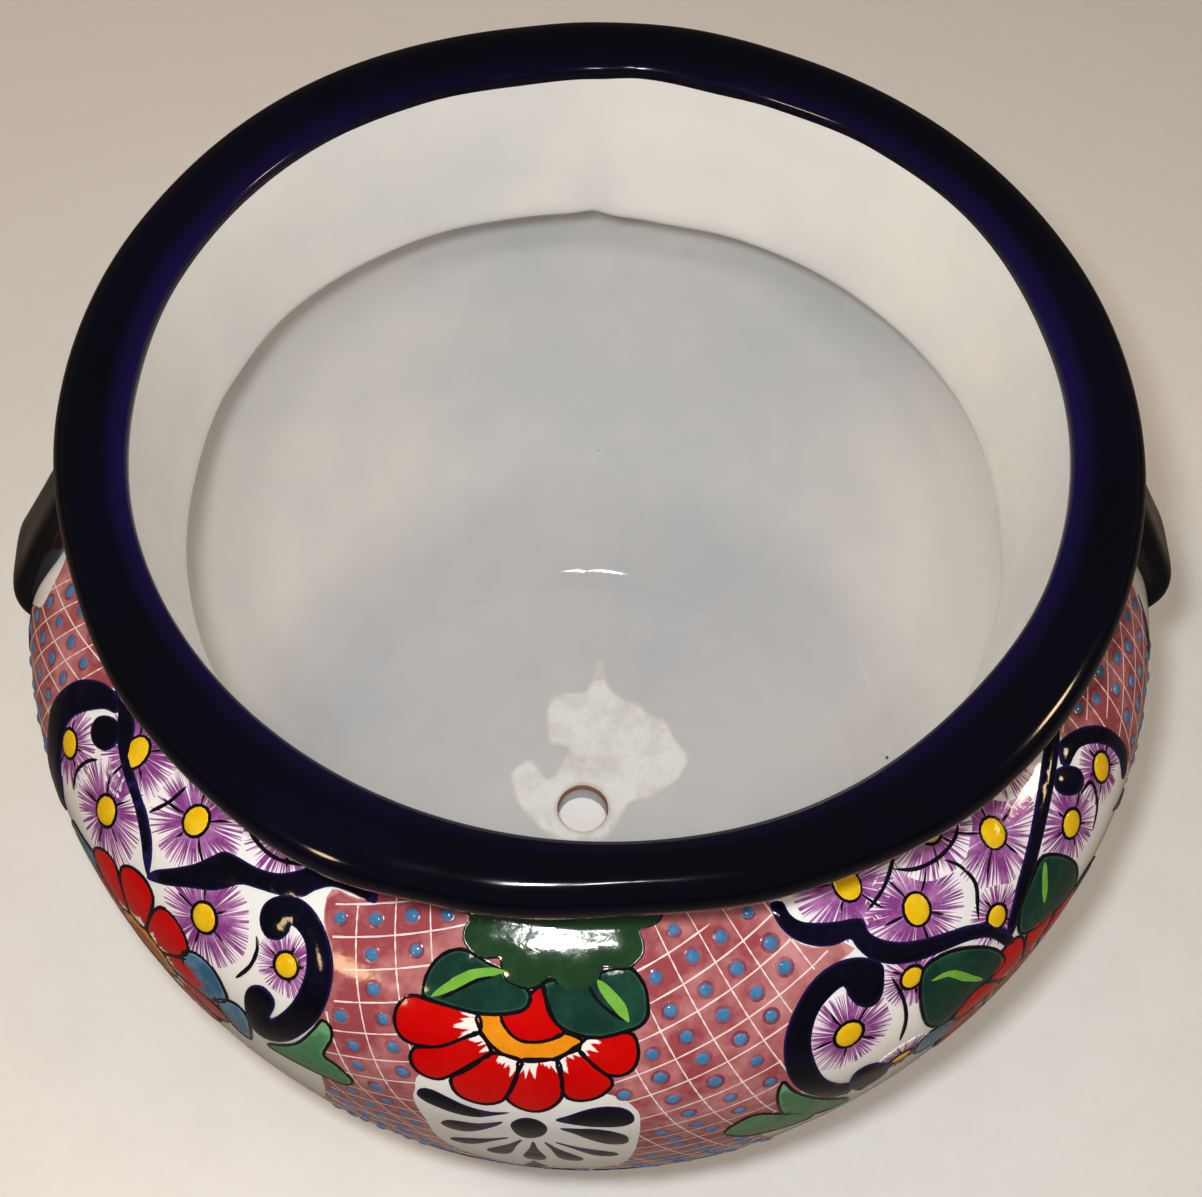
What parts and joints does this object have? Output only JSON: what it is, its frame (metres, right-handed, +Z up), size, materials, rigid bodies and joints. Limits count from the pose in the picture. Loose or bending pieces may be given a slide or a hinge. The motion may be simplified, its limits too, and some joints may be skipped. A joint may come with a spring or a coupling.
{
  "type": "planter vase",
  "caption": "Round-bellied glazed ceramic planter vase with wide flared mouth, rolled rim, strap ears and drain hole, for a plant or cut flowers.",
  "frame": {"origin": "centre of the foot, on the surface that the pot stands on", "axes": "+Z up along the pot's axis, X through both ears, -Y towards the front seam"},
  "size_m": [0.4728, 0.447, 0.358],
  "materials": {
    "white_glaze": "glossy tin-white glaze with painted flowers",
    "cobalt_glaze": "glossy near-black cobalt glaze",
    "bare_clay": "matte earthenware"
  },
  "bodies": {
    "root": {"base_slab": "bare_clay", "left_half_shell": "white_glaze", "right_half_shell": "white_glaze", "front_seam_coil": "white_glaze", "back_seam_coil": "white_glaze", "rim_roll": "cobalt_glaze", "left_ear": "cobalt_glaze", "right_ear": "cobalt_glaze"}
  },
  "joints": []
}
